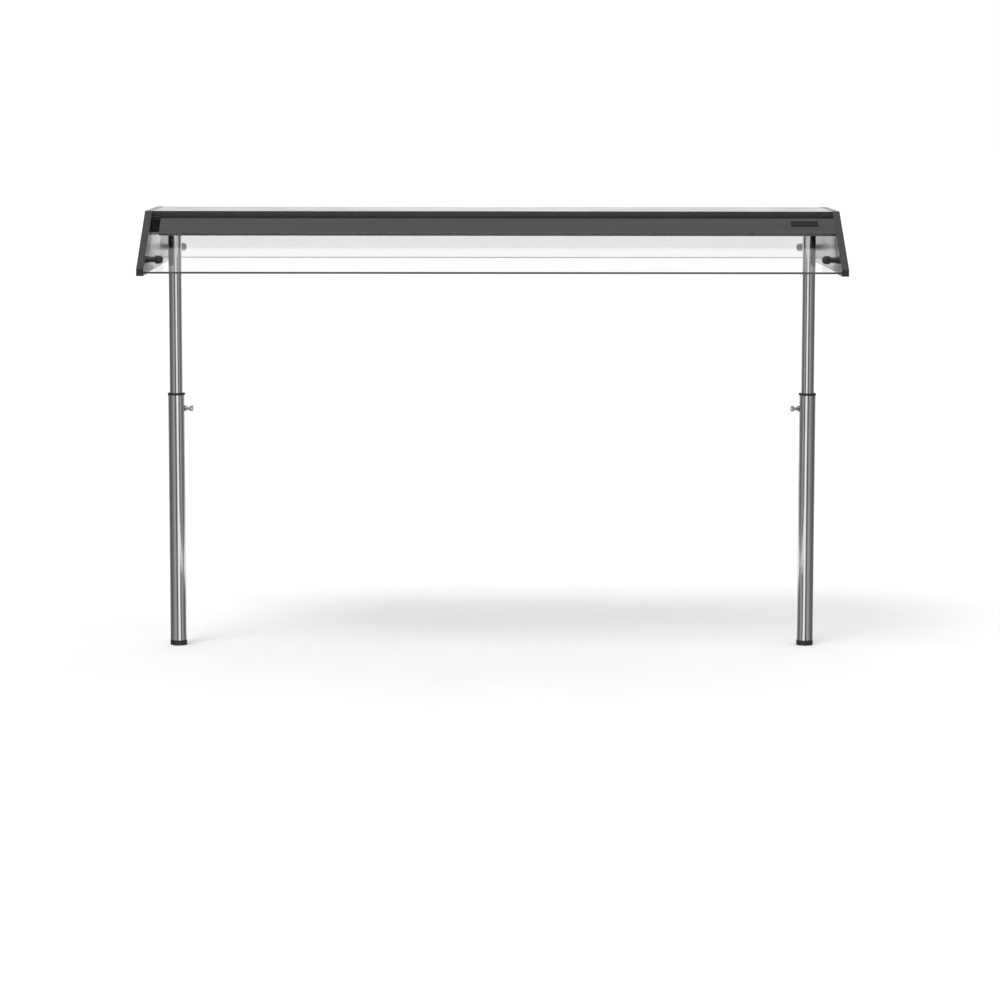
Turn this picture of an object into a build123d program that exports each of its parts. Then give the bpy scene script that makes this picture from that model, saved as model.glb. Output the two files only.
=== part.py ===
"""Sneeze guard for a buffet counter: a wood-laminate hood with two sloping glass panes and a lamp,
carried by two steel posts that slide in sleeves standing through the counter.

Frame: origin midway between the sleeves' feet, on the plane they stand on. +X along the width,
+Y to the rear, +Z up. Units are mm. The hood is the same front and rear, so most pieces of the
rear half are the front ones mirrored in the plane Y = 0.
"""
from build123d import *
from math import atan2, cos, degrees, pi, sin
import os

# ---- hood ------------------------------------------------------------------------------------
HOOD_WIDTH = 1540.0
HOOD_TOP = 996.0
TOP_HALF_DEPTH = 145.0
BOTTOM_HALF_DEPTH = 362.0
SLOPE_FOOT = 878.0
HOOD_BOTTOM = 863.0
PANEL_THICK = 16.0
BAND_THICK = 1.0
EDGE_ROUND = 0.8
TOP_THICK = 11.5
TOP_RECESS = 1.5
INNER_X = HOOD_WIDTH / 2 - PANEL_THICK

# ---- slope: s runs down it from the top edge, h runs into the hood, square to it --------------
RUN = BOTTOM_HALF_DEPTH - TOP_HALF_DEPTH
DROP = HOOD_TOP - SLOPE_FOOT
SLOPE = atan2(DROP, RUN)
FASCIA_S = (31.0, 93.0)
FASCIA_H = (0.5, 8.5)
PANE_S = (58.0, 225.5)
PANE_H = (20.0, 25.0)
GROOVE_DEEP = 3.0
GROOVE_PLAY = 0.2
SWITCH_WIDE = 21.5
PLATE_X = (658.5, 718.5)
PLATE_S = (42.0, 64.0)

# ---- corner rails under the top --------------------------------------------------------------
RAIL_Y = (126.0, 150.0)
RAIL_Z = (960.0, HOOD_TOP - 0.5 - TOP_THICK)

# ---- glass clamps: a peg on the end panel, a rubber collar on the pane, a screw-on knob --------
PEG_S = 190.0
PEG_H = 10.5
PEG_R = 6.3
SOCKET_R = 7.6
SOCKET_LONG = 7.5
PEG_END_X = 733.0
STUD_R = 3.0
COLLAR_R = 9.5
COLLAR_LONG = 3.2
KNOB_R = 8.9
KNOB_LONG = 13.0
RUNNING_GAP = 0.08

# ---- posts and sleeves -----------------------------------------------------------------------
POST_X = 717.0
TUBE_R = 15.0
TUBE_WALL = 1.5
TUBE_BOTTOM = 274.0
SLEEVE_R = 19.0
SLEEVE_WALL = 1.5
SLEEVE_TOP = 574.0
BUSH_TOP = 579.0
BUSH_R = 19.8
FOOT_TALL = 12.0
FOOT_R = 18.9
FOOT_PLUG = 20.0
SEAT_LINE_Z = (480.0, 481.0)
SEAT_LINE_R = 18.6
CABLE_OFFSET = 11.0
CABLE_HOLE_R = 4.3
THUMB_Z = 543.0
THUMB_R = 4.0
THUMB_REACH = 19.5

# ---- lamp ------------------------------------------------------------------------------------
LAMP_HALF = 630.0
LAMP_HALF_DEEP = 24.0
LAMP_Z = (940.0, 976.0)
CAP_X = (614.0, 646.0)
CAP_Z = (935.0, 979.0)
CHIP_PITCH = 30.0

UNDER_TOP = HOOD_TOP - 0.5 - TOP_THICK
FRONT_SLOPE = Plane(
    origin=(0, -TOP_HALF_DEPTH, HOOD_TOP),
    x_dir=(1, 0, 0),
    z_dir=(0, sin(SLOPE), -cos(SLOPE)),
)


def save(name, shape):
    shape.label = name
    export_step(shape, f"parts/{name}.step")


def block(x, y, z):
    """A box given by its three ranges."""
    size = [b - a for a, b in (x, y, z)]
    middle = [(a + b) / 2 for a, b in (x, y, z)]
    return Pos(*middle) * Box(*size)


def on_slope(x, s, h):
    """A box given by its ranges across, down and into the front slope."""
    return FRONT_SLOPE * block(x, s, h)


def slope_point(s, h):
    y = -TOP_HALF_DEPTH - cos(SLOPE) * s + sin(SLOPE) * h
    z = HOOD_TOP - sin(SLOPE) * s - cos(SLOPE) * h
    return y, z


def rear(shape):
    """The same piece on the rear half of the hood."""
    return mirror(shape, about=Plane.XZ)


def both_ends(shape):
    return [shape, mirror(shape, about=Plane.YZ)]


def group(shapes):
    """Separate identical solids kept as one node."""
    result = Part()
    for shape in shapes:
        result += shape
    return result


def rod_x(x0, x1, y, z, r):
    """A round bar along X."""
    return Pos((x0 + x1) / 2, y, z) * Rot(0, 90, 0) * Cylinder(r, abs(x1 - x0))


def rod_z(x, y, z0, z1, r):
    return Pos(x, y, (z0 + z1) / 2) * Cylinder(r, z1 - z0)


def turned_x(x0, direction, y, z, profile):
    """A turned piece on an axis along X; the profile is (distance, radius) points from x0."""
    points = [(x0 + direction * d, r) for d, r in profile]
    points = [(points[0][0], 0)] + points + [(points[-1][0], 0)]
    section = make_face(Polyline(*[(px, 0, pr) for px, pr in points], close=True))
    return Pos(0, y, z) * revolve(section, Axis.X)


def panel_outline(inset):
    """The end panel's outline, drawn back by the same inset on every side."""
    points = [
        (-TOP_HALF_DEPTH, HOOD_TOP),
        (TOP_HALF_DEPTH, HOOD_TOP),
        (BOTTOM_HALF_DEPTH, SLOPE_FOOT),
        (BOTTOM_HALF_DEPTH, HOOD_BOTTOM),
        (-BOTTOM_HALF_DEPTH, HOOD_BOTTOM),
        (-BOTTOM_HALF_DEPTH, SLOPE_FOOT),
    ]
    face = make_face(Plane.YZ * Polyline(*points, close=True))
    return offset(face, amount=-inset, kind=Kind.INTERSECTION) if inset else face


def end_panel(inset):
    """The left end panel's slab."""
    slab = extrude(panel_outline(inset), PANEL_THICK, dir=(1, 0, 0))
    return Pos(-HOOD_WIDTH / 2, 0, 0) * slab


os.makedirs("parts", exist_ok=True)

# ---- fasteners through the end panels --------------------------------------------------------
PEG_Y, PEG_Z = slope_point(PEG_S, PEG_H)
FASCIA_Y, FASCIA_Z = slope_point(61.0, 4.5)
TOP_MID_Z = HOOD_TOP - 0.5 - TOP_THICK / 2
RAIL_MID = sum(RAIL_Y) / 2
RAIL_Z_MID = sum(RAIL_Z) / 2
OUTER_X = HOOD_WIDTH / 2


def panel_screw(y, z, r, head_r, reach):
    """A countersunk screw driven through the left end panel, head flush with its outer face."""
    profile = [(0.4, head_r), (0.8, head_r), (0.8 + head_r - r, r), (PANEL_THICK + reach, r)]
    return turned_x(-OUTER_X, 1, y, z, profile)


shared_places = [
    (-90.0, TOP_MID_Z, 2.2, 4.2, 34.0),
    (90.0, TOP_MID_Z, 2.2, 4.2, 34.0),
    (RAIL_MID, RAIL_Z_MID, 2.2, 4.2, 30.0),
    (-FASCIA_Y, FASCIA_Z, 1.6, 3.2, 30.0),
]
right_only_places = [
    (-RAIL_MID, RAIL_Z_MID, 2.2, 4.2, 30.0),
    (FASCIA_Y, FASCIA_Z, 1.6, 3.2, 30.0),
]
panel_screws = [panel_screw(*place) for place in shared_places]
for place in shared_places + right_only_places:
    panel_screws.append(mirror(panel_screw(*place), about=Plane.YZ))
save("panel_screws", group(panel_screws))

peg_bolt = turned_x(
    -OUTER_X, 1, PEG_Y, PEG_Z, [(0.4, 6.0), (0.8, 6.0), (3.8, STUD_R), (PANEL_THICK + 14.0, STUD_R)]
)
peg_bolts = both_ends(peg_bolt) + both_ends(rear(peg_bolt))
save("peg_bolts", group(peg_bolts))


def with_holes(shape, cutters):
    """Take the driven fasteners out of a board, so that no two solids share space."""
    for cutter in cutters:
        shape -= cutter
    return shape


# ---- end panels and their edge bands ---------------------------------------------------------
groove = on_slope(
    (-INNER_X - GROOVE_DEEP, -INNER_X + 1),
    (PANE_S[0] - 4, PANE_S[1] + 0.6),
    (PANE_H[0] - GROOVE_PLAY, PANE_H[1] + GROOVE_PLAY),
)
left_panel = end_panel(BAND_THICK) - groove - rear(groove)
whole = end_panel(0)
faces = whole.faces().filter_by(Axis.X)
whole = fillet(faces[0].edges() + faces[1].edges(), EDGE_ROUND)
left_band = whole - end_panel(BAND_THICK) - groove - rear(groove)
right_panel = mirror(left_panel, about=Plane.YZ)
right_band = mirror(left_band, about=Plane.YZ)
save("left_end_panel", with_holes(left_panel, panel_screws + peg_bolts))
save("right_end_panel", with_holes(right_panel, panel_screws + peg_bolts))
save("left_edge_band", left_band)
save("right_edge_band", right_band)

# ---- top, rails and fascias ------------------------------------------------------------------
top_y = TOP_HALF_DEPTH - TOP_RECESS
core_y = top_y - BAND_THICK
top_panel = block((-INNER_X, INNER_X), (-core_y, core_y), (UNDER_TOP, HOOD_TOP - 0.5))
top_band = block((-INNER_X, INNER_X), (-top_y, -core_y), (UNDER_TOP, HOOD_TOP - 0.5))
top_band = fillet(top_band.edges().filter_by(Axis.X).group_by(Axis.Y)[0], EDGE_ROUND)
save("top_edge_bands", group([top_band, rear(top_band)]))
front_rail = block((-INNER_X + SWITCH_WIDE, INNER_X), (-RAIL_Y[1], -RAIL_Y[0]), RAIL_Z)
rear_rail = rear(block((-INNER_X, INNER_X), (-RAIL_Y[1], -RAIL_Y[0]), RAIL_Z))
front_x = (-INNER_X + SWITCH_WIDE, INNER_X)
rear_x = (-INNER_X, INNER_X)
core_s = (FASCIA_S[0] + BAND_THICK, FASCIA_S[1] - BAND_THICK)
front_fascia = on_slope(front_x, core_s, FASCIA_H)
rear_fascia = rear(on_slope(rear_x, core_s, FASCIA_H))


def fascia_bands(x_range):
    """The banding on the fascia's upper and lower edges."""
    bands = []
    for s_range, outer in (((FASCIA_S[0], core_s[0]), 0), ((core_s[1], FASCIA_S[1]), -1)):
        strip = block(x_range, s_range, FASCIA_H)
        strip = fillet(strip.edges().filter_by(Axis.X).group_by(Axis.Y)[outer], EDGE_ROUND)
        bands.append(FRONT_SLOPE * strip)
    return bands


bands = fascia_bands(front_x) + [rear(strip) for strip in fascia_bands(rear_x)]
save("fascia_edge_bands", group(bands))

# ---- post tubes, their flanges and screws ----------------------------------------------------
FLANGE_R = 34.0
FLANGE_THICK = 4.0
FLANGE_SCREW_PCD_R = 25.0
flange_screws = []
for side in (-1, 1):
    for k in range(4):
        angle = pi / 4 + k * pi / 2
        sx = side * POST_X + FLANGE_SCREW_PCD_R * cos(angle)
        sy = FLANGE_SCREW_PCD_R * sin(angle)
        shank = rod_z(sx, sy, UNDER_TOP - FLANGE_THICK, UNDER_TOP + 9, 2.0)
        head = rod_z(sx, sy, UNDER_TOP - FLANGE_THICK - 2.4, UNDER_TOP - FLANGE_THICK, 4.0)
        flange_screws.append(shank + fillet(head.edges().group_by(Axis.Z)[0], 1.6))
save("flange_screws", group(flange_screws))

GROMMET_Z = 955.0
for name, side in (("left", -1), ("right", 1)):
    x = side * POST_X
    flange = rod_z(x, 0, UNDER_TOP - FLANGE_THICK, UNDER_TOP, FLANGE_R)
    flange = chamfer(flange.edges().group_by(Axis.Z)[0], 1.0)
    save(f"{name}_post_flange", with_holes(flange, flange_screws))
    tube = rod_z(x, 0, TUBE_BOTTOM, UNDER_TOP - FLANGE_THICK, TUBE_R)
    tube -= rod_z(x, 0, TUBE_BOTTOM - 1, UNDER_TOP - FLANGE_THICK + 1, TUBE_R - TUBE_WALL)
    if side < 0:
        tube -= rod_x(x, x + TUBE_R + 2, 0, GROMMET_Z, 5.0)
    save(f"{name}_post_tube", tube)
    guide = rod_z(x, 0, TUBE_BOTTOM - 10, TUBE_BOTTOM, SLEEVE_R - SLEEVE_WALL - RUNNING_GAP)
    guide += rod_z(x, 0, TUBE_BOTTOM, TUBE_BOTTOM + 20, TUBE_R - TUBE_WALL)
    guide -= rod_z(x, 0, TUBE_BOTTOM - 11, TUBE_BOTTOM + 21, 8.0)
    guide = chamfer(guide.edges().group_by(Axis.Z)[0].filter_by(GeomType.CIRCLE), 0.8)
    save(f"{name}_tube_guide", guide)

tube_grommet = rod_x(-POST_X + TUBE_R - 3, -POST_X + TUBE_R + 2.0, 0, GROMMET_Z, 4.9)
tube_grommet += rod_x(-POST_X + TUBE_R + 0.3, -POST_X + TUBE_R + 2.0, 0, GROMMET_Z, 7.0)
tube_grommet -= rod_x(-POST_X, -POST_X + TUBE_R + 5, 0, GROMMET_Z, 3.2)
tube_grommet -= rod_z(-POST_X, 0, 940, 970, TUBE_R) - rod_x(-POST_X, -POST_X + 30, 0, GROMMET_Z, 4.95)
save("tube_grommet", tube_grommet)

# ---- lamp under the top ----------------------------------------------------------------------
housing = block((-LAMP_HALF, LAMP_HALF), (-LAMP_HALF_DEEP, LAMP_HALF_DEEP), LAMP_Z)
housing = fillet(housing.edges().filter_by(Axis.X).group_by(Axis.Z)[-1], 4.0)
trough = block((-LAMP_HALF - 1, LAMP_HALF + 1), (-22.4, 22.4), (LAMP_Z[0] - 1, LAMP_Z[1] - 1.8))
ledge = block((-LAMP_HALF, LAMP_HALF), (20.4, 22.4), (944.2, 946.0))
housing = housing - trough + ledge + rear(ledge)
save("lamp_housing", housing)
diffuser = block((-LAMP_HALF, LAMP_HALF), (-22.3, 22.3), (938.2, 944.1))
diffuser = fillet(diffuser.edges().filter_by(Axis.X).group_by(Axis.Z)[0], 2.6)
diffuser -= block((-LAMP_HALF - 1, LAMP_HALF + 1), (-19.8, 19.8), (940.7, 946))
save("lamp_diffuser", diffuser)
led_board = block((-600, 600), (-10, 10), (972.6, 974.2))
save("led_board", led_board)
chip_count = int(1140 / CHIP_PITCH) + 1
chips = [
    block((x - 2.5, x + 2.5), (-2.5, 2.5), (971.6, 972.6))
    for x in [(k - (chip_count - 1) / 2) * CHIP_PITCH for k in range(chip_count)]
]
save("led_chips", group(chips))
cap = block(CAP_X, (-27, 27), CAP_Z)
cap = fillet(cap.edges().filter_by(Axis.X), 4.0)
cap = fillet(cap.edges().filter_by(Axis.Z).group_by(Axis.X)[-1], 2.0)
pocket_y = LAMP_HALF_DEEP + 0.1
cap -= block((CAP_X[0] - 1, LAMP_HALF + 0.2), (-pocket_y, pocket_y), (938.0, LAMP_Z[1] + 0.1))
cap = cap - block((CAP_X[0] - 1, LAMP_HALF - 0.5), (-18.0, 18.0), (930.0, 939.0))
save("lamp_end_caps", group(both_ends(cap)))

bracket_screws = []
brackets = []
for bx in (-450.0, 0.0, 450.0):
    arms = block((bx - 15, bx + 15), (-25.6, 25.6), (954, UNDER_TOP))
    arms -= block((bx - 16, bx + 16), (-24.1, 24.1), (953, UNDER_TOP - 1.5))
    for sy in (-15.0, 15.0):
        shank = rod_z(bx, sy, UNDER_TOP - 1.5, UNDER_TOP + 8, 1.9)
        head = rod_z(bx, sy, UNDER_TOP - 3.5, UNDER_TOP - 1.5, 3.6)
        bracket_screws.append(shank + head)
    brackets.append(with_holes(arms, bracket_screws[-2:]))
save("lamp_brackets", group(brackets))
save("bracket_screws", group(bracket_screws))
driver = block((-590, -430), (62, 98), (UNDER_TOP - 24, UNDER_TOP))
driver = fillet(driver.edges().group_by(Axis.Z)[0], 1.5)
save("led_driver", driver)

cut_top = panel_screws + flange_screws + bracket_screws
save("top_panel", with_holes(top_panel, cut_top))
save("front_corner_rail", with_holes(front_rail, panel_screws))
save("rear_corner_rail", with_holes(rear_rail, panel_screws))
save("front_fascia", with_holes(front_fascia, panel_screws))
save("rear_fascia", with_holes(rear_fascia, panel_screws))

# ---- blank name plate ------------------------------------------------------------------------
plate = on_slope(PLATE_X, PLATE_S, (FASCIA_H[0] - 0.8, FASCIA_H[0]))
corners = [e for e in plate.edges() if abs(e.length - 0.8) < 0.01]
save("name_plate", fillet(corners, 2.0))

# ---- glass panes -----------------------------------------------------------------------------
pane_x = INNER_X + GROOVE_DEEP - 1.0
front_pane = on_slope((-pane_x, pane_x), PANE_S, PANE_H)
front_pane = chamfer(front_pane.edges().filter_by(Axis.X), 0.5)
save("front_glass_pane", front_pane)
save("rear_glass_pane", rear(front_pane))

# ---- pegs, sockets, collars and knobs that hold the panes ------------------------------------
INNER_FACE = -INNER_X
peg_end = -PEG_END_X
socket = turned_x(INNER_FACE, 1, PEG_Y, PEG_Z, [(0, SOCKET_R), (6.5, SOCKET_R), (SOCKET_LONG, 6.6)])
socket -= rod_x(INNER_FACE - 1, INNER_FACE + 9, PEG_Y, PEG_Z, 4.5)
save("peg_sockets", group(both_ends(socket) + both_ends(rear(socket))))

peg = rod_x(INNER_FACE, INNER_FACE + SOCKET_LONG, PEG_Y, PEG_Z, 4.5)
peg += rod_x(INNER_FACE + SOCKET_LONG, peg_end, PEG_Y, PEG_Z, PEG_R)
peg += rod_x(peg_end, peg_end + 13.0, PEG_Y, PEG_Z, STUD_R)
peg -= peg_bolt
pegs = both_ends(peg)
for name, piece in zip(("left", "right"), pegs):
    save(f"front_{name}_peg", piece)
    save(f"rear_{name}_peg", rear(piece))

collar = turned_x(
    peg_end, 1, PEG_Y, PEG_Z,
    [(0, COLLAR_R - 0.8), (0.8, COLLAR_R), (COLLAR_LONG - 0.8, COLLAR_R), (COLLAR_LONG, COLLAR_R - 0.8)],
)
collar -= rod_x(peg_end - 1, peg_end + 6, PEG_Y, PEG_Z, STUD_R)
save("peg_collars", group(both_ends(collar) + both_ends(rear(collar))))

knob_start = peg_end + COLLAR_LONG + 0.4
knob = turned_x(
    knob_start, 1, PEG_Y, PEG_Z,
    [(0, KNOB_R - 0.6), (0.6, KNOB_R), (7.0, KNOB_R), (9.2, KNOB_R - 1.4), (11.4, 5.2), (KNOB_LONG, 2.6)],
)
knob -= rod_x(knob_start - 1, peg_end + 13.5, PEG_Y, PEG_Z, STUD_R + RUNNING_GAP)
for k in range(18):
    angle = k * 2 * pi / 18
    flute_y = PEG_Y + (KNOB_R + 0.5) * cos(angle)
    flute_z = PEG_Z + (KNOB_R + 0.5) * sin(angle)
    knob -= rod_x(knob_start - 1, knob_start + 12, flute_y, flute_z, 0.95)
for name, piece in zip(("left", "right"), both_ends(knob)):
    save(f"front_{name}_clamp_knob", piece)
    save(f"rear_{name}_clamp_knob", rear(piece))

# ---- lamp switch under the top's front left corner, reached through the gap in the fascia ------
sw_x = (-INNER_X + 0.2, -INNER_X + SWITCH_WIDE - 0.2)
sw_mid_x = sum(sw_x) / 2
SWITCH_FACE_Y = -165.0
SWITCH_Z = (941.0, UNDER_TOP)
SWITCH_DEEP = 39.0
ROCKER_HALF = (6.0, 12.0)
ROCKER_TILT = 7.0
PIVOT_DEEP = 4.0
switch_mid_z = sum(SWITCH_Z) / 2
half_tall = (SWITCH_Z[1] - SWITCH_Z[0]) / 2
# in this plane s runs down the switch's face and h runs in through it
SWITCH_PLANE = Plane(origin=(0, SWITCH_FACE_Y, switch_mid_z), x_dir=(1, 0, 0), z_dir=(0, 1, 0))
body = block(sw_x, (-half_tall, half_tall), (0, SWITCH_DEEP))
body = fillet(body.edges().group_by(Axis.Z)[0], 1.0)
pocket_x = (sw_mid_x - ROCKER_HALF[0] - 0.5, sw_mid_x + ROCKER_HALF[0] + 0.5)
pocket_s = (-ROCKER_HALF[1] - 1.3, ROCKER_HALF[1] + 1.3)
bezel = block(
    (pocket_x[0] - 1.6, pocket_x[1] + 1.6), (pocket_s[0] - 1.6, pocket_s[1] + 1.6), (-1.2, 0)
)
bezel = fillet(bezel.edges().group_by(Axis.Z)[0], 0.6)
pivot = Rot(0, 90, 0) * Cylinder(1.2 + RUNNING_GAP, ROCKER_HALF[0] * 2 + 3.8)
switch_body = body + bezel - block(pocket_x, pocket_s, (-2.0, 7.6)) - Pos(sw_mid_x, 0, PIVOT_DEEP) * pivot
save("switch_body", SWITCH_PLANE * switch_body)
section = [
    (-ROCKER_HALF[1], -2.6),
    (0.0, -1.4),
    (ROCKER_HALF[1], -2.6),
    (ROCKER_HALF[1], 1.0),
    (3.0, 5.6),
    (-3.0, 5.6),
    (-ROCKER_HALF[1], 1.0),
]
face = make_face(Polyline(*[(0, s, h - PIVOT_DEEP) for s, h in section], close=True))
rocker = Pos(-ROCKER_HALF[0], 0, 0) * extrude(face, ROCKER_HALF[0] * 2, dir=(1, 0, 0))
rocker += Rot(0, 90, 0) * Cylinder(1.2, (ROCKER_HALF[0] + 1.5) * 2)
save("switch_rocker", SWITCH_PLANE * Pos(sw_mid_x, 0, PIVOT_DEEP) * Rot(ROCKER_TILT, 0, 0) * rocker)

# ---- sleeves with their feet, bushes, bosses and thumb screws --------------------------------
sleeve_in = SLEEVE_R - SLEEVE_WALL
for name, side in (("left", -1), ("right", 1)):
    x = side * POST_X
    face_x = x - side * SLEEVE_R
    sleeve = rod_z(x, 0, FOOT_TALL, SLEEVE_TOP, SLEEVE_R)
    sleeve -= rod_z(x, 0, *SEAT_LINE_Z, SLEEVE_R + 1) - rod_z(x, 0, *SEAT_LINE_Z, SEAT_LINE_R)
    sleeve -= rod_z(x, 0, FOOT_TALL - 1, SLEEVE_TOP + 1, sleeve_in)
    sleeve -= rod_x(x, x - side * 30, 0, THUMB_Z, THUMB_R + 0.3)
    save(f"{name}_sleeve", sleeve)
    bush = rod_z(x, 0, SLEEVE_TOP, BUSH_TOP, BUSH_R)
    bush = fillet(bush.edges().group_by(Axis.Z)[-1], 1.6)
    bush += rod_z(x, 0, SLEEVE_TOP - 20, SLEEVE_TOP, sleeve_in)
    bush -= rod_z(x, 0, SLEEVE_TOP - 21, BUSH_TOP + 1, TUBE_R + RUNNING_GAP)
    save(f"{name}_top_bush", bush)
    foot = rod_z(x, 0, 0, FOOT_TALL, FOOT_R)
    foot = fillet(foot.edges().group_by(Axis.Z)[0], 1.2)
    foot += rod_z(x, 0, FOOT_TALL, FOOT_TALL + FOOT_PLUG, sleeve_in)
    foot -= rod_z(x, 0, -1, FOOT_TALL + FOOT_PLUG + 1, THUMB_R)
    if side < 0:
        foot -= rod_z(x, CABLE_OFFSET, -1, FOOT_TALL + FOOT_PLUG + 1, CABLE_HOLE_R)
    save(f"{name}_foot", foot)
    boss = rod_x(face_x + side * 0.7, face_x - side * 4.0, 0, THUMB_Z, 7.0)
    boss -= rod_z(x, 0, THUMB_Z - 20, THUMB_Z + 20, SLEEVE_R)
    boss -= rod_x(x, x - side * 40, 0, THUMB_Z, THUMB_R)
    save(f"{name}_screw_boss", boss)
    tip = TUBE_R + 0.4
    screw_r = THUMB_R - RUNNING_GAP
    reach = SLEEVE_R + THUMB_REACH
    screw = turned_x(
        x, -side, 0, THUMB_Z,
        [
            (tip, screw_r - 0.8), (tip + 0.8, screw_r), (SLEEVE_R + 8.0, screw_r),
            (SLEEVE_R + 8.6, 5.0), (SLEEVE_R + 11.0, 5.2), (SLEEVE_R + 13.0, 7.0),
            (reach - 0.8, 7.0), (reach, 6.2),
        ],
    )
    for k in range(20):
        angle = k * 2 * pi / 20
        flute = (7.25 * cos(angle), THUMB_Z + 7.25 * sin(angle))
        screw -= rod_x(x - side * (SLEEVE_R + 12), x - side * (reach + 1), flute[0], flute[1], 0.6)
    save(f"{name}_thumb_screw", screw)

# the lamp's lead comes down inside the left post and leaves through this bush in its foot
foot_grommet = rod_z(-POST_X, CABLE_OFFSET, 0.5, FOOT_TALL + FOOT_PLUG, CABLE_HOLE_R - 0.05)
foot_grommet += rod_z(-POST_X, CABLE_OFFSET, FOOT_TALL + FOOT_PLUG, FOOT_TALL + FOOT_PLUG + 1.5, CABLE_HOLE_R + 1.5)
foot_grommet -= rod_z(-POST_X, CABLE_OFFSET, -1, FOOT_TALL + FOOT_PLUG + 3, 3.0)
save("foot_grommet", foot_grommet)
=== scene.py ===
"""Looks for the sneeze guard: laminate hood, glass panes, lamp and polished posts, around the CAD frame.

Most CAD nodes only get a procedural material. The panes, the blank plate, the clamp knobs, the thumb screws
and three sets of screws are modelled again here with finer shapes, and stand for their CAD nodes.
"""
import math

import bmesh
import bpy
from mathutils import Matrix, Vector


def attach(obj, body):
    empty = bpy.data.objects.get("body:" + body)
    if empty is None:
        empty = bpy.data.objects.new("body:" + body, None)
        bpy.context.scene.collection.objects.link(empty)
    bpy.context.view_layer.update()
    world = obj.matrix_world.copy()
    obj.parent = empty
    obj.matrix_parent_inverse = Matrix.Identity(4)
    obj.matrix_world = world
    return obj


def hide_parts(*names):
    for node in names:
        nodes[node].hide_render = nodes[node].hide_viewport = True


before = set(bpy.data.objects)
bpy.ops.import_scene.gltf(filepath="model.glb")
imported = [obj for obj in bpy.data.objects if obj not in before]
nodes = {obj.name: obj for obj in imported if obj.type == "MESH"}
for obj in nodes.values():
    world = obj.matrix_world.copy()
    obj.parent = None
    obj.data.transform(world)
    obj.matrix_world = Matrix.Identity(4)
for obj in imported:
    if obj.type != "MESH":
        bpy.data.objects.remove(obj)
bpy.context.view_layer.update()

# Blender's own start-up objects, if the file wasn't emptied first.
for name in ("Cube", "Light", "Camera"):
    leftover = bpy.data.objects.get(name)
    if leftover is not None and leftover.name not in nodes:
        bpy.data.objects.remove(leftover, do_unlink=True)

# ---------------------------------------------------------------- sizes of the guard, in millimetres
MM = 0.001
ENDS = (("left", -1), ("right", 1))
HOOD_TOP = 996.0
PANEL_FACE_X = 770.0
PANEL_THICK = 16.0
TOP_SUNK = 0.5
TOP_THICK = 11.5
POST_X = 717.0
POST_FLANGE_THICK = 4.0
THUMB_Z = 543.0
CLAMP_S, CLAMP_H = 190.0, 10.5       # the clamps' axis: down the slope and under it
PEG_END_X = 733.0

SLOPE_TOP_Y = -145.0
SLOPE_RUN, SLOPE_DROP = 217.0, 118.0
SLOPE = math.atan2(SLOPE_DROP, SLOPE_RUN)
DOWN = Vector((0, -math.cos(SLOPE), -math.sin(SLOPE)))
INTO = Vector((0, math.sin(SLOPE), -math.cos(SLOPE)))
TOP_EDGE = Vector((0, SLOPE_TOP_Y, HOOD_TOP))


def slope_at(x, s, h, side=1):
    """The point s down the slope and h under it; side is 1 on the front slope and -1 on the rear one."""
    point = TOP_EDGE + DOWN * s + INTO * h + Vector((x, 0, 0))
    return Vector((point.x, point.y * side, point.z))


CLAMP = slope_at(0, CLAMP_S, CLAMP_H)


# ---------------------------------------------------------------- material helpers
def new_material(name):
    material = bpy.data.materials.new(name)
    material.use_nodes = True
    tree = material.node_tree
    return material, tree, tree.nodes["Principled BSDF"]


def set_sockets(shader, **values):
    for key, value in values.items():
        socket = shader.inputs[key.replace("_", " ")]
        if isinstance(value, tuple) and len(value) == 3:
            value = (*value, 1.0)
        socket.default_value = value


def coords(tree, scale):
    """Object coordinates in metres, stretched by scale."""
    source = tree.nodes.new("ShaderNodeTexCoord")
    mapping = tree.nodes.new("ShaderNodeMapping")
    mapping.inputs["Scale"].default_value = scale
    tree.links.new(source.outputs["Object"], mapping.inputs["Vector"])
    return mapping.outputs["Vector"]


def noise(tree, scale, stretch=(1, 1, 1), detail=4.0, rough=0.55, distort=0.0):
    node = tree.nodes.new("ShaderNodeTexNoise")
    node.inputs["Scale"].default_value = scale
    node.inputs["Detail"].default_value = detail
    node.inputs["Roughness"].default_value = rough
    node.inputs["Distortion"].default_value = distort
    tree.links.new(coords(tree, stretch), node.inputs["Vector"])
    return node.outputs["Fac"]


def remap(tree, value, low, high, to_low, to_high):
    node = tree.nodes.new("ShaderNodeMapRange")
    node.inputs["From Min"].default_value = low
    node.inputs["From Max"].default_value = high
    node.inputs["To Min"].default_value = to_low
    node.inputs["To Max"].default_value = to_high
    tree.links.new(value, node.inputs["Value"])
    return node.outputs["Result"]


def ramp(tree, value, stops):
    node = tree.nodes.new("ShaderNodeValToRGB")
    elements = node.color_ramp.elements
    while len(elements) < len(stops):
        elements.new(0.5)
    for element, (place, colour) in zip(elements, stops):
        element.position = place
        element.color = (*colour, 1.0)
    tree.links.new(value, node.inputs["Fac"])
    return node.outputs["Color"]


def maths(tree, operation, first, second):
    node = tree.nodes.new("ShaderNodeMath")
    node.operation = operation
    for socket, value in zip(node.inputs, (first, second)):
        if isinstance(value, (int, float)):
            socket.default_value = value
        else:
            tree.links.new(value, socket)
    return node.outputs["Value"]


def bump(tree, shader, height, strength, distance):
    node = tree.nodes.new("ShaderNodeBump")
    node.inputs["Strength"].default_value = strength
    node.inputs["Distance"].default_value = distance
    tree.links.new(height, node.inputs["Height"])
    tree.links.new(node.outputs["Normal"], shader.inputs["Normal"])


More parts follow.
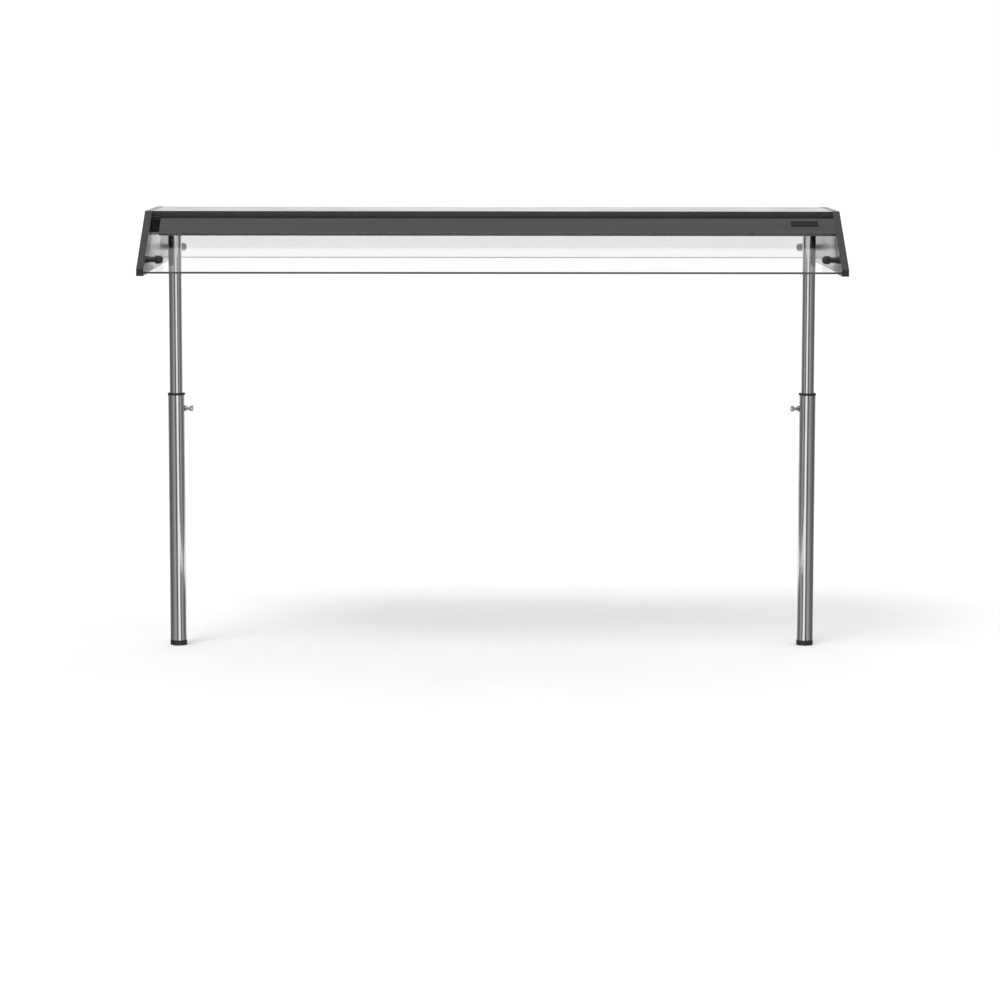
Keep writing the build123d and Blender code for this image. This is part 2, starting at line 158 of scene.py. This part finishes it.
# ---------------------------------------------------------------- materials
def laminate(name, along):
    """Black melamine board with a pressed wood grain that runs along one axis."""
    material, tree, shader = new_material(name)
    stretch = tuple(0.035 if axis == along else 1.0 for axis in "XYZ")
    broad = noise(tree, 34, stretch, detail=3, rough=0.6, distort=0.35)
    fine = noise(tree, 420, stretch, detail=5, rough=0.62)
    grain = maths(tree, "ADD", maths(tree, "MULTIPLY", broad, 0.55), maths(tree, "MULTIPLY", fine, 0.45))
    colour = ramp(tree, grain, [
        (0.34, (0.0060, 0.0058, 0.0056)),
        (0.47, (0.0115, 0.0112, 0.0110)),
        (0.56, (0.0180, 0.0175, 0.0171)),
        (0.68, (0.0300, 0.0292, 0.0284)),
    ])
    tree.links.new(colour, shader.inputs["Base Color"])
    smudge = noise(tree, 7, detail=5, rough=0.6)
    gloss = maths(tree, "ADD", remap(tree, grain, 0.35, 0.65, 0.20, 0.12),
                  remap(tree, smudge, 0.35, 0.7, -0.02, 0.05))
    tree.links.new(gloss, shader.inputs["Roughness"])
    bump(tree, shader, grain, 0.10, 0.0003)
    set_sockets(shader, IOR=1.43)
    return material


def plastic(name, colour, rough, grain_scale=1400, depth=0.12, ior=1.49, shine=0.5):
    """Moulded plastic: fine spark-eroded texture, slight patches of wear in its gloss."""
    material, tree, shader = new_material(name)
    patch = noise(tree, 45, detail=4)
    dark = tuple(c * 0.82 for c in colour)
    light = tuple(min(1.0, c * 1.22) for c in colour)
    tree.links.new(ramp(tree, patch, [(0.3, dark), (0.7, light)]), shader.inputs["Base Color"])
    tree.links.new(remap(tree, patch, 0.3, 0.7, rough - 0.05, rough + 0.07), shader.inputs["Roughness"])
    bump(tree, shader, noise(tree, grain_scale, detail=3), depth, 0.0002)
    set_sockets(shader, IOR=ior, Specular_IOR_Level=shine)
    return material


def banding(name, colour, rough, depth=0.18, ior=1.49, shine=0.5):
    """Edge banding: the plastic of the boards' edges, with a coarser texture than moulded parts."""
    return plastic(name, colour, rough, grain_scale=600, depth=depth, ior=ior, shine=shine)


def metal(name, colour, rough, stretch, line_scale=900, depth=0.05):
    """Bright metal with polishing lines across the stretched axis and faint hand marks."""
    material, tree, shader = new_material(name)
    lines = noise(tree, line_scale, stretch, detail=3)
    marks = noise(tree, 16, detail=5, rough=0.6)
    dark = tuple(c * 0.93 for c in colour)
    tree.links.new(ramp(tree, marks, [(0.3, dark), (0.65, colour)]), shader.inputs["Base Color"])
    gloss = maths(tree, "ADD", remap(tree, lines, 0.3, 0.7, rough * 0.75, rough * 1.3),
                  remap(tree, marks, 0.45, 0.75, 0.0, 0.05))
    tree.links.new(gloss, shader.inputs["Roughness"])
    bump(tree, shader, lines, depth, 0.00008)
    set_sockets(shader, Metallic=1.0)
    return material


def clear_glass():
    """Float glass with a faint film on it."""
    material, tree, shader = new_material("float_glass")
    film = noise(tree, 9, detail=5, rough=0.6)
    tree.links.new(remap(tree, film, 0.4, 0.8, 0.0, 0.03), shader.inputs["Roughness"])
    tint = ramp(tree, film, [(0.3, (0.920, 0.930, 0.927)), (0.8, (0.905, 0.915, 0.912))])
    tree.links.new(tint, shader.inputs["Base Color"])
    set_sockets(shader, IOR=1.5, Transmission_Weight=1.0)
    return material


def ground_edge():
    """The arrissed edge of a pane: dark, a little green, finely ground."""
    material, tree, shader = new_material("ground_glass_edge")
    grit = noise(tree, 700, detail=4)
    tree.links.new(ramp(tree, grit, [(0.3, (0.045, 0.050, 0.048)), (0.7, (0.085, 0.094, 0.090))]),
                   shader.inputs["Base Color"])
    tree.links.new(remap(tree, grit, 0.3, 0.7, 0.22, 0.4), shader.inputs["Roughness"])
    bump(tree, shader, grit, 0.15, 0.0001)
    set_sockets(shader, IOR=1.5)
    return material


def diffuser_plastic():
    """The lamp's opal cover, drawn lengthwise and lit through a little."""
    material, tree, shader = new_material("opal_diffuser")
    cloud = noise(tree, 60, detail=3)
    tree.links.new(ramp(tree, cloud, [(0.3, (0.80, 0.80, 0.775)), (0.7, (0.87, 0.87, 0.85))]),
                   shader.inputs["Base Color"])
    tree.links.new(remap(tree, cloud, 0.3, 0.7, 0.34, 0.44), shader.inputs["Roughness"])
    bump(tree, shader, noise(tree, 260, (0.02, 1, 1), detail=1), 0.12, 0.0002)
    set_sockets(shader, IOR=1.58, Subsurface_Weight=0.25, Subsurface_Scale=0.004)
    return material


laminate_x = laminate("black_laminate_long", "X")
laminate_y = laminate("black_laminate_end", "Y")
# One black edge banding in three lit and shaded copies: its base colour is darkest on the end panels as
# painted shade, lighter on the top panel as painted light, and lightest on the fascia's edges as a painted
# highlight.
end_band_painted_shade = banding("end_panel_banding_painted_shade", (0.027, 0.0268, 0.0265), 0.27, depth=0.1, ior=1.28)
top_band_painted_light = banding("top_panel_banding_painted_light", (0.034, 0.0337, 0.0335), 0.42, shine=0.35)
fascia_band_painted_highlight = banding("fascia_banding_painted_highlight", (0.062, 0.0615, 0.061), 0.4)
rail_wood = plastic("stained_batten", (0.016, 0.015, 0.014), 0.55, grain_scale=300, depth=0.35)
post_steel = metal("polished_post_steel", (0.66, 0.66, 0.665), 0.10, (0.02, 0.02, 1))
fitting_steel = metal("bright_fitting_steel", (0.62, 0.62, 0.625), 0.22, (1, 1, 1), line_scale=1500)
zinc = metal("zinc_screw", (0.60, 0.61, 0.63), 0.30, (1, 1, 1), line_scale=2200, depth=0.1)
black_plastic = plastic("black_moulded_plastic", (0.0105, 0.0105, 0.011), 0.42)
foot_plastic = plastic("black_foot_plastic", (0.014, 0.014, 0.0145), 0.5)
switch_gloss = plastic("black_switch_plastic", (0.008, 0.008, 0.0085), 0.24, depth=0.06)
plate_gloss = plastic("blank_label_plate", (0.005, 0.005, 0.005), 0.32, depth=0.04, shine=0.1)
rubber = plastic("black_rubber", (0.016, 0.016, 0.016), 0.68, grain_scale=900, depth=0.3)
lamp_alu = metal("anodised_lamp_extrusion", (0.78, 0.78, 0.79), 0.34, (0.02, 1, 1), line_scale=1300)
cap_plastic = plastic("lamp_cap_plastic", (0.018, 0.018, 0.0185), 0.45)
board_white = plastic("white_circuit_board", (0.74, 0.75, 0.73), 0.35, depth=0.05)
led_yellow = plastic("led_phosphor", (0.85, 0.70, 0.22), 0.3, depth=0.04)
glass = clear_glass()
glass_edge = ground_edge()
opal = diffuser_plastic()

looks = {
    laminate_x: ["top_panel", "front_fascia", "rear_fascia"],
    laminate_y: ["left_end_panel", "right_end_panel"],
    end_band_painted_shade: ["left_edge_band", "right_edge_band"],
    top_band_painted_light: ["top_edge_bands"],
    fascia_band_painted_highlight: ["fascia_edge_bands"],
    rail_wood: ["front_corner_rail", "rear_corner_rail"],
    post_steel: ["left_post_tube", "right_post_tube", "left_sleeve", "right_sleeve"],
    fitting_steel: ["left_post_flange", "right_post_flange", "lamp_brackets", "left_screw_boss",
                    "right_screw_boss", "left_thumb_screw", "right_thumb_screw"],
    zinc: ["flange_screws", "bracket_screws", "panel_screws", "peg_bolts"],
    black_plastic: ["left_top_bush", "right_top_bush", "left_tube_guide", "right_tube_guide",
                    "front_left_peg", "front_right_peg", "rear_left_peg", "rear_right_peg",
                    "peg_sockets", "led_driver", "front_left_clamp_knob", "front_right_clamp_knob",
                    "rear_left_clamp_knob", "rear_right_clamp_knob"],
    foot_plastic: ["left_foot", "right_foot"],
    switch_gloss: ["switch_body", "switch_rocker"],
    plate_gloss: ["name_plate"],
    rubber: ["peg_collars", "tube_grommet", "foot_grommet"],
    lamp_alu: ["lamp_housing"],
    cap_plastic: ["lamp_end_caps"],
    board_white: ["led_board"],
    led_yellow: ["led_chips"],
    opal: ["lamp_diffuser"],
    glass: ["front_glass_pane", "rear_glass_pane"],
}
for material, names in looks.items():
    for name in names:
        node = nodes[name]
        for slot in node.material_slots:
            slot.material = material
        if not node.material_slots:
            node.data.materials.append(material)

# ---------------------------------------------------------------- mesh helpers
SHARP_ANGLE = math.radians(32)
QUAD = 4


def link(thing):
    bpy.context.scene.collection.objects.link(thing)
    return thing


def face_outwards(mesh):
    outward = bmesh.new()
    outward.from_mesh(mesh)
    bmesh.ops.recalc_face_normals(outward, faces=outward.faces)
    outward.to_mesh(mesh)
    outward.free()


def add_object(name, vertices, faces, materials, body, replaced, face_materials=None):
    """A piece that rides on a body and stands for CAD nodes; its flat end caps stay flat-shaded."""
    mesh = bpy.data.meshes.new(name)
    mesh.from_pydata([tuple(v) for v in vertices], [], faces)
    for material in materials:
        mesh.materials.append(material)
    if face_materials is not None:
        mesh.polygons.foreach_set("material_index", face_materials)
    mesh.validate()
    face_outwards(mesh)
    piece = link(bpy.data.objects.new(name, mesh))
    mesh.set_sharp_from_angle(angle=SHARP_ANGLE)
    mesh.polygons.foreach_set("use_smooth", [p.loop_total == QUAD for p in mesh.polygons])
    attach(piece, body)
    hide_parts(*replaced)


def turned_mesh(rings, count, start, axis, across):
    """A closed turned body: rings are (distance, radius); a radius may be a function of the angle."""
    axis = Vector(axis).normalized()
    across = Vector(across).normalized()
    third = axis.cross(across)
    vertices, faces = [], []
    for distance, radius in rings:
        for k in range(count):
            angle = 2 * math.pi * k / count
            r = radius(angle) if callable(radius) else radius
            spoke = across * math.cos(angle) + third * math.sin(angle)
            vertices.append((Vector(start) + axis * distance + spoke * r) * MM)
    for ring in range(len(rings) - 1):
        for k in range(count):
            a, b = ring * count + k, ring * count + (k + 1) % count
            faces.append((a, b, b + count, a + count))
    faces.append(tuple(reversed(range(count))))
    last = (len(rings) - 1) * count
    faces.append(tuple(range(last, last + count)))
    return vertices, faces


def turned_inwards(rings, count, x, y, z, out):
    """A body turned about a line along X, from an outer end at x towards the middle of the guard."""
    return turned_mesh(rings, count, (x, y, z), (-out, 0, 0), (0, 0, 1))


def join_meshes(parts):
    vertices, faces = [], []
    for part_vertices, part_faces in parts:
        shift = len(vertices)
        vertices += part_vertices
        faces += [tuple(i + shift for i in face) for face in part_faces]
    return vertices, faces


def cross_recess(reach, half_wide):
    """The outline of a cross-shaped driver recess, as a radius for each angle."""
    def radius(angle):
        folded = abs((angle + math.pi / 4) % (math.pi / 2) - math.pi / 4)
        along = reach / math.cos(folded)
        side = half_wide / max(math.sin(folded), 1e-6)
        return min(along, side)
    return radius


def hex_recess(apothem):
    """The outline of a six-sided driver recess."""
    def radius(angle):
        folded = (angle % (math.pi / 3)) - math.pi / 6
        return apothem / math.cos(folded)
    return radius


def fluted(radius, deep, count):
    """A rim with rounded grip flutes."""
    def outline(angle):
        wave = 0.5 + 0.5 * math.cos(count * angle)
        return radius - deep * (1 - wave) ** 2
    return outline


# ---------------------------------------------------------------- glass panes and blank plate
PANE_X = (-756.0, 756.0)
PANE_S = (58.0, 225.5)
PANE_H = (20.0, 25.0)
PANE_CORNER, PANE_ARRIS, PANE_STEPS = 2.5, 0.6, 6
PLATE_X = (658.5, 718.5)
PLATE_S = (42.0, 64.0)
PLATE_H = (-0.3, 0.5)
PLATE_CORNER, PLATE_ARRIS, PLATE_STEPS = 2.2, 0.25, 8
ARRIS_STEPS = 3
CAP, RIM = 0, 1                      # a slab's face materials


def corner_points(x_range, s_range, corner, steps):
    """Round a slab's outline, as (centre x, centre s, outward x, outward s)."""
    centres = [
        (x_range[1] - corner, s_range[1] - corner),
        (x_range[0] + corner, s_range[1] - corner),
        (x_range[0] + corner, s_range[0] + corner),
        (x_range[1] - corner, s_range[0] + corner),
    ]
    points = []
    for quarter, (cx, cs) in enumerate(centres):
        for k in range(steps + 1):
            angle = 0.5 * math.pi * (quarter + k / steps)
            points.append((cx, cs, math.cos(angle), math.sin(angle)))
    return points


def arris_layers(h_range, corner, arris):
    """A slab's layers from its outer to its inner face, as (h, corner radius), with rounded arrises."""
    quarter = []
    for k in reversed(range(ARRIS_STEPS + 1)):
        angle = 0.5 * math.pi * k / ARRIS_STEPS
        quarter.append((arris * (1 - math.sin(angle)), corner - arris * (1 - math.cos(angle))))
    outer = [(h_range[0] + inset, r) for inset, r in quarter]
    inner = [(h_range[1] - inset, r) for inset, r in reversed(quarter)]
    return outer + inner


def rounded_slab(x_range, s_range, h_range, corner, arris, corner_steps, side):
    """A slab on the slope with rounded corners and arrissed rims, and each face's CAP or RIM."""
    outline = corner_points(x_range, s_range, corner, corner_steps)
    layers = arris_layers(h_range, corner, arris)
    count = len(outline)
    vertices = []
    for h, r in layers:
        for cx, cs, ax, as_ in outline:
            vertices.append(slope_at(cx + ax * r, cs + as_ * r, h, side) * MM)
    faces = []
    for layer in range(len(layers) - 1):
        for k in range(count):
            a, b = layer * count + k, layer * count + (k + 1) % count
            faces.append((a, b, b + count, a + count))
    kinds = [RIM] * len(faces) + [CAP, CAP]
    faces.append(tuple(reversed(range(count))))
    faces.append(tuple(range((len(layers) - 1) * count, len(layers) * count)))
    if side < 0:
        faces = [tuple(reversed(face)) for face in faces]
    return vertices, faces, kinds


for name, side in (("front", 1), ("rear", -1)):
    vertices, faces, kinds = rounded_slab(PANE_X, PANE_S, PANE_H, PANE_CORNER, PANE_ARRIS, PANE_STEPS, side)
    add_object(f"{name}_pane", vertices, faces, [glass, glass_edge], "hood",
               [f"{name}_glass_pane"], kinds)

vertices, faces, _ = rounded_slab(PLATE_X, PLATE_S, PLATE_H, PLATE_CORNER, PLATE_ARRIS, PLATE_STEPS, 1)
add_object("blank_plate", vertices, faces, [plate_gloss], "hood", ["name_plate"])

# ---------------------------------------------------------------- knobs on the glass pegs
KNOB_OVERLAP = 3.6                   # the knob's skirt reaches this far back over the peg's end
KNOB_FLUTES = 18
STUD_HOLE_R = 3.1
DOME_FROM, DOME_TALL, DOME_STEPS = 8.3, 4.7, 8
DOME_TIP_R, DOME_SPREAD_R, DOME_SQUARENESS = 0.35, 7.65, 0.8


def knob_rings():
    """A fluted skirt under a dome."""
    rim = fluted(8.9, 0.7, KNOB_FLUTES)
    rings = [(0.0, STUD_HOLE_R), (0.0, 8.0), (0.35, fluted(8.6, 0.45, KNOB_FLUTES)), (0.8, rim), (6.8, rim)]
    rings += [(7.6, fluted(8.7, 0.55, KNOB_FLUTES)), (DOME_FROM, fluted(8.2, 0.3, KNOB_FLUTES))]
    for k in range(1, DOME_STEPS + 1):
        angle = 0.5 * math.pi * k / DOME_STEPS
        dome_r = DOME_TIP_R + DOME_SPREAD_R * math.cos(angle) ** DOME_SQUARENESS
        rings.append((DOME_FROM + DOME_TALL * math.sin(angle), dome_r))
    return rings


for row, side in (("front", 1), ("rear", -1)):
    for end, out in ENDS:
        vertices, faces = turned_inwards(knob_rings(), KNOB_FLUTES * 8, out * (PEG_END_X - KNOB_OVERLAP),
                                         CLAMP.y * side, CLAMP.z, out)
        add_object(f"{row}_{end}_knob_grip", vertices, faces, [black_plastic], f"{row}_{end}_knob",
                   [f"{row}_{end}_clamp_knob"])

# ---------------------------------------------------------------- thumb screws on the sleeves
THREAD_FROM, THREAD_PITCH, THREAD_TURNS = 16.6, 1.25, 8
ROOT_R, CREST_R = 3.35, 3.92
THUMB_FLUTES = 20
THUMB_SIDES = 160


def thumb_screw_rings():
    """Point, thread, neck and a fluted head with a dished end; distances are from the post's axis."""
    rings = [(15.4, 2.2), (15.6, 2.9), (16.2, 3.5)]
    for k in range(THREAD_TURNS):
        at = THREAD_FROM + k * THREAD_PITCH
        rings += [(at, ROOT_R), (at + 0.45, CREST_R), (at + 0.65, CREST_R), (at + 1.1, ROOT_R)]
    rings += [(27.0, 3.5), (27.4, 3.6), (27.8, 4.6), (28.6, 5.0), (30.0, 5.1), (31.0, 5.5)]
    chamfer = fluted(6.7, 0.25, THUMB_FLUTES)
    rim = fluted(7.0, 0.45, THUMB_FLUTES)
    rings += [(32.0, chamfer), (32.4, rim), (37.3, rim), (37.9, chamfer)]
    rings += [(38.2, 6.2), (38.5, 5.6), (38.5, 3.2), (38.1, 2.8)]
    return rings


for end, out in ENDS:
    vertices, faces = turned_inwards(thumb_screw_rings(), THUMB_SIDES, out * POST_X, 0, THUMB_Z, out)
    add_object(f"{end}_thumb_screw_turned", vertices, faces, [fitting_steel], f"{end}_thumb_screw",
               [f"{end}_thumb_screw"])

# ---------------------------------------------------------------- fasteners with driver recesses
SCREW_SIDES = 96
HEAD_SUNK = 0.4                      # heads in the end panels lie this far below the panel's face
HEAD_ARRIS = 0.15
CONE_FROM = 0.8
TOP_SCREW_Y = 90.0
RAIL_SCREW_Y, RAIL_SCREW_Z = 138.0, 972.0
FASCIA_SCREW_S, FASCIA_SCREW_H = 61.0, 4.5
# Each panel screw's shank radius, head radius and reach beyond the panel.
TOP_SCREW = (2.2, 4.2, 34.0)
RAIL_SCREW = (2.2, 4.2, 30.0)
FASCIA_SCREW = (1.6, 3.2, 30.0)


def head_rings(face_r, head_r, r, length):
    """A countersunk head's flat face and rim, its cone and the shank."""
    return [(HEAD_SUNK, face_r), (HEAD_SUNK + HEAD_ARRIS, head_r), (CONE_FROM, head_r),
            (CONE_FROM + head_r - r, r), (length, r)]


def panel_screw(y, z, size, out):
    """A countersunk cross-recess screw through an end panel; out is -1 at the left end."""
    r, head_r, reach = size
    recess = cross_recess(head_r * 0.62, head_r * 0.15)
    recess_floor = cross_recess(head_r * 0.34, head_r * 0.10)
    rings = [(HEAD_SUNK + head_r * 0.55, recess_floor), (HEAD_SUNK, recess)]
    rings += head_rings(head_r - HEAD_ARRIS, head_r, r, PANEL_THICK + reach)
    return turned_inwards(rings, SCREW_SIDES, out * PANEL_FACE_X, y, z, out)


def panel_screws():
    """Into the top, the corner rails and the fascias; the lamp's switch takes the place of two of them."""
    fascia = slope_at(0, FASCIA_SCREW_S, FASCIA_SCREW_H)
    top_middle = HOOD_TOP - TOP_SUNK - TOP_THICK / 2
    screws = []
    for _, out in ENDS:
        for side in (-1, 1):
            screws.append(panel_screw(side * TOP_SCREW_Y, top_middle, TOP_SCREW, out))
            if (out, side) != (-1, -1):
                screws.append(panel_screw(side * RAIL_SCREW_Y, RAIL_SCREW_Z, RAIL_SCREW, out))
                screws.append(panel_screw(-side * fascia.y, fascia.z, FASCIA_SCREW, out))
    return screws


def peg_bolts():
    """Countersunk socket bolts through the end panels into the pegs."""
    socket = hex_recess(2.0)
    rings = [(3.4, socket), (HEAD_SUNK, socket)] + head_rings(5.8, 6.0, 3.0, 30.0)
    bolts = []
    for _, out in ENDS:
        for side in (-1, 1):
            bolts.append(turned_inwards(rings, SCREW_SIDES, out * PANEL_FACE_X, side * CLAMP.y, CLAMP.z,
                                        out))
    return bolts


FLANGE_HOLE_RADIUS = 25.0
PAN_R, PAN_HEAD_R, PAN_HEAD_TALL, PAN_INTO = 2.0, 4.0, 2.4, 13.0


def pan_screw(x, y, under):
    """A pan-head cross-recess screw driven upwards; under is the plane its head bears on."""
    recess = cross_recess(PAN_HEAD_R * 0.55, PAN_HEAD_R * 0.14)
    recess_floor = cross_recess(PAN_HEAD_R * 0.32, PAN_HEAD_R * 0.10)
    head = [(0.35, recess_floor), (1.0, recess), (1.0, PAN_HEAD_R * 0.62), (0.93, PAN_HEAD_R * 0.80),
            (0.72, PAN_HEAD_R * 0.94), (0.4, PAN_HEAD_R), (0.0, PAN_HEAD_R)]
    rings = [(-PAN_HEAD_TALL * share, radius) for share, radius in head]
    rings += [(0.0, PAN_R), (PAN_INTO, PAN_R)]
    return turned_mesh(rings, SCREW_SIDES, (x, y, under), (0, 0, 1), (1, 0, 0))


def flange_screws():
    """Four round each post, up through its flange into the top board."""
    under = HOOD_TOP - TOP_SUNK - TOP_THICK - POST_FLANGE_THICK
    screws = []
    for _, out in ENDS:
        for k in range(4):
            angle = math.pi / 4 + k * math.pi / 2
            x = out * POST_X + FLANGE_HOLE_RADIUS * math.cos(angle)
            screws.append(pan_screw(x, FLANGE_HOLE_RADIUS * math.sin(angle), under))
    return screws


vertices, faces = join_meshes(panel_screws())
add_object("panel_screw_set", vertices, faces, [zinc], "hood", ["panel_screws"])
vertices, faces = join_meshes(peg_bolts())
add_object("peg_bolt_set", vertices, faces, [zinc], "hood", ["peg_bolts"])
vertices, faces = join_meshes(flange_screws())
add_object("flange_screw_set", vertices, faces, [zinc], "hood", ["flange_screws"])

# ---------------------------------------------------------------- stage: floor and world, in metres
FLOOR = 60.0                         # half the floor's side


def add_floor():
    mesh = bpy.data.meshes.new("studio_floor")
    corners = [(-FLOOR, -FLOOR, 0), (FLOOR, -FLOOR, 0), (FLOOR, FLOOR, 0), (-FLOOR, FLOOR, 0)]
    mesh.from_pydata(corners, [], [(0, 1, 2, 3)])
    floor = link(bpy.data.objects.new("studio_floor", mesh))
    material, tree, shader = new_material("pale_floor")
    patch = noise(tree, 3, detail=3)
    tint = ramp(tree, patch, [(0.3, (0.860, 0.860, 0.860)), (0.7, (0.880, 0.880, 0.880))])
    tree.links.new(tint, shader.inputs["Base Color"])
    set_sockets(shader, Roughness=0.8, Specular_IOR_Level=0.0)
    mesh.materials.append(material)


def add_world():
    world = bpy.data.worlds.new("studio")
    bpy.context.scene.world = world
    world.use_nodes = True
    background = world.node_tree.nodes["Background"]
    background.inputs["Color"].default_value = (1.0, 1.0, 1.0, 1.0)
    background.inputs["Strength"].default_value = 1.0


# ---------------------------------------------------------------- stage: flags, in metres
# Flags and softboxes stood in a ring round the guard: only its polished surfaces see them.
# Each stop is (turn, brightness), from the far side, through the left, to the camera's side.
# The right half mirrors the left.
HALF_RING = [
    (0.00, 1.25), (0.08, 1.10), (0.13, 0.60), (0.19, 0.18), (0.26, 0.14), (0.32, 0.30), (0.37, 0.50),
    (0.405, 0.34), (0.425, 0.04), (0.445, 0.12), (0.465, 0.85), (0.48, 1.30),
]
RING = HALF_RING + [(1.0 - turn, level) for turn, level in reversed(HALF_RING)]
RING_RADIUS = 2.4
RING_TALL = 2.3
RING_STEPS = 144
FAN_Z = 0.002
FAN_FROM = 0.021                     # a fan starts just outside its sleeve
SHADES = 24
BRIGHTEST = 1.35


def ring_brightness(turn):
    for (turn_a, level_a), (turn_b, level_b) in zip(RING, RING[1:]):
        if turn_a <= turn <= turn_b:
            return level_a + (level_b - level_a) * (turn - turn_a) / (turn_b - turn_a)
    return RING[-1][1]


def look(angle):
    """The direction of an angle counted like the ring's, from the far side and to the left."""
    return -math.sin(angle), math.cos(angle)


def reach_to_ring(start_x, dx, dy):
    """How far a look from a point on the X axis goes before it meets the ring."""
    return -start_x * dx + math.sqrt(RING_RADIUS ** 2 - (start_x * dy) ** 2)


def turn_seen_from(start_x, angle):
    """Where on the ring a look from a post goes, as a turn."""
    dx, dy = look(angle)
    along = reach_to_ring(start_x, dx, dy)
    return math.atan2(-start_x - along * dx, along * dy) / (2 * math.pi) % 1.0


def step_angles(k):
    return [2 * math.pi * (k + step) / RING_STEPS for step in (0, 1)]


def ring_panels():
    """The ring's upright panels: four corners and a brightness each."""
    for k in range(RING_STEPS):
        corners = []
        for angle in step_angles(k):
            dx, dy = look(angle)
            corners += [(RING_RADIUS * dx, RING_RADIUS * dy, z) for z in (0.0, RING_TALL)]
        yield corners, ring_brightness((k + 0.5) / RING_STEPS)


def fan_panels(post_x):
    """A fan of the same shades on the floor round a post, cut off halfway to the other post."""
    for k in range(RING_STEPS):
        angles = step_angles(k)
        corners = []
        for angle in angles:
            dx, dy = look(angle)
            reach = reach_to_ring(post_x, dx, dy)
            if dx * post_x < 0:
                reach = min(reach, -post_x / dx)
            corners += [(post_x + r * dx, r * dy, FAN_Z) for r in (FAN_FROM, reach)]
        yield corners, ring_brightness(turn_seen_from(post_x, sum(angles) / 2))


def add_flags():
    vertices, faces, levels = [], [], []
    for panels in (ring_panels(), fan_panels(-POST_X * MM), fan_panels(POST_X * MM)):
        for corners, level in panels:
            first = len(vertices)
            vertices += corners
            faces.append((first, first + 2, first + 3, first + 1))
            levels.append(level)
    mesh = bpy.data.meshes.new("studio_flags")
    mesh.from_pydata(vertices, [], faces)
    for k in range(SHADES):
        material, _, shader = new_material(f"flag_{k:02d}")
        set_sockets(shader, Base_Color=(0.0, 0.0, 0.0), Roughness=1.0, Specular_IOR_Level=0.0,
                    Emission_Color=(1.0, 1.0, 1.0), Emission_Strength=BRIGHTEST * k / (SHADES - 1))
        mesh.materials.append(material)
    for polygon, level in zip(mesh.polygons, levels):
        polygon.material_index = min(SHADES - 1, round(level / BRIGHTEST * (SHADES - 1)))
    flags = link(bpy.data.objects.new("studio_flags", mesh))
    flags.visible_camera = False
    flags.visible_diffuse = False
    flags.visible_transmission = False
    flags.visible_volume_scatter = False
    flags.visible_shadow = False


# ---------------------------------------------------------------- light and camera, in metres
SUN_ENERGY = 0.9
SUN_ANGLE = math.radians(25)
SUN_AIM = (0.35, 0.55, -1.0)


def add_sun():
    light = bpy.data.lights.new("soft_key", "SUN")
    light.energy = SUN_ENERGY
    light.angle = SUN_ANGLE
    sun = link(bpy.data.objects.new("soft_key", light))
    sun.rotation_euler = Vector(SUN_AIM).to_track_quat("-Z", "Y").to_euler()


CAMERA_AT = (-0.03017, -7.8287, 1.26960)
PITCH, YAW, ROLL = 0.119005, 0.0061935, 0.0012322
LENS, SENSOR = 124.41, 36.0          # in millimetres
CLIP_END = 200.0


def add_camera():
    """The reference view: pitched down, turned slightly to the right, and level but for a small roll."""
    data = bpy.data.cameras.new("camera")
    data.lens = LENS
    data.sensor_width = SENSOR
    data.clip_end = CLIP_END
    camera = link(bpy.data.objects.new("camera", data))
    right = Vector((math.cos(YAW), -math.sin(YAW), 0))
    ahead = Vector((math.cos(PITCH) * math.sin(YAW), math.cos(PITCH) * math.cos(YAW), -math.sin(PITCH)))
    up = Vector((math.sin(PITCH) * math.sin(YAW), math.sin(PITCH) * math.cos(YAW), math.cos(PITCH)))
    tilted_right = right * math.cos(ROLL) + up * math.sin(ROLL)
    tilted_up = up * math.cos(ROLL) - right * math.sin(ROLL)
    turn = Matrix((tilted_right, tilted_up, -ahead)).transposed()
    camera.matrix_world = Matrix.Translation(CAMERA_AT) @ turn.to_4x4()
    bpy.context.scene.camera = camera


add_floor()
add_world()
add_flags()
add_sun()
add_camera()
bpy.context.scene.view_settings.view_transform = "Standard"
